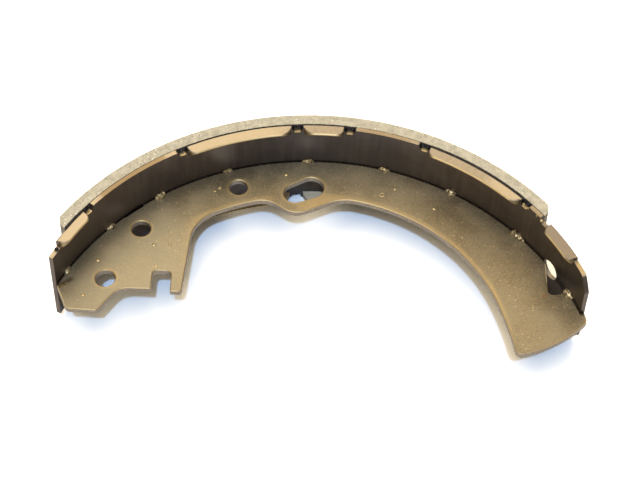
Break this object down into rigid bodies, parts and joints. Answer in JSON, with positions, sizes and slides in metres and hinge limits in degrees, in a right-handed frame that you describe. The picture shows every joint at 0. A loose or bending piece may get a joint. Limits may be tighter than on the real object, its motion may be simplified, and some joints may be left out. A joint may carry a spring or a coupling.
{
  "type": "brake shoe",
  "caption": "Drum brake shoe: flat steel web with strut slot, spring holes and rounded anchor end, welded into a curved notched table with a bonded friction lining.",
  "frame": {"origin": "the crown of the lining's face, on the web's mid-plane; the drum's axis is 130 mm behind it", "axes": "+Z along the drum's axis, up from the edge that the shoe lies on; +Y to the crown of the shoe; +X to its anchor end"},
  "size_m": [0.2308, 0.1092, 0.05],
  "materials": {
    "shoe_paint": "satin",
    "table_paint": "satin",
    "friction": "matte",
    "adhesive": "gloss",
    "weld": "satin"
  },
  "bodies": {
    "root": {"web": "shoe_paint", "table": "table_paint", "lining": "friction", "bond": "adhesive", "weld_spots": "weld"}
  },
  "joints": []
}
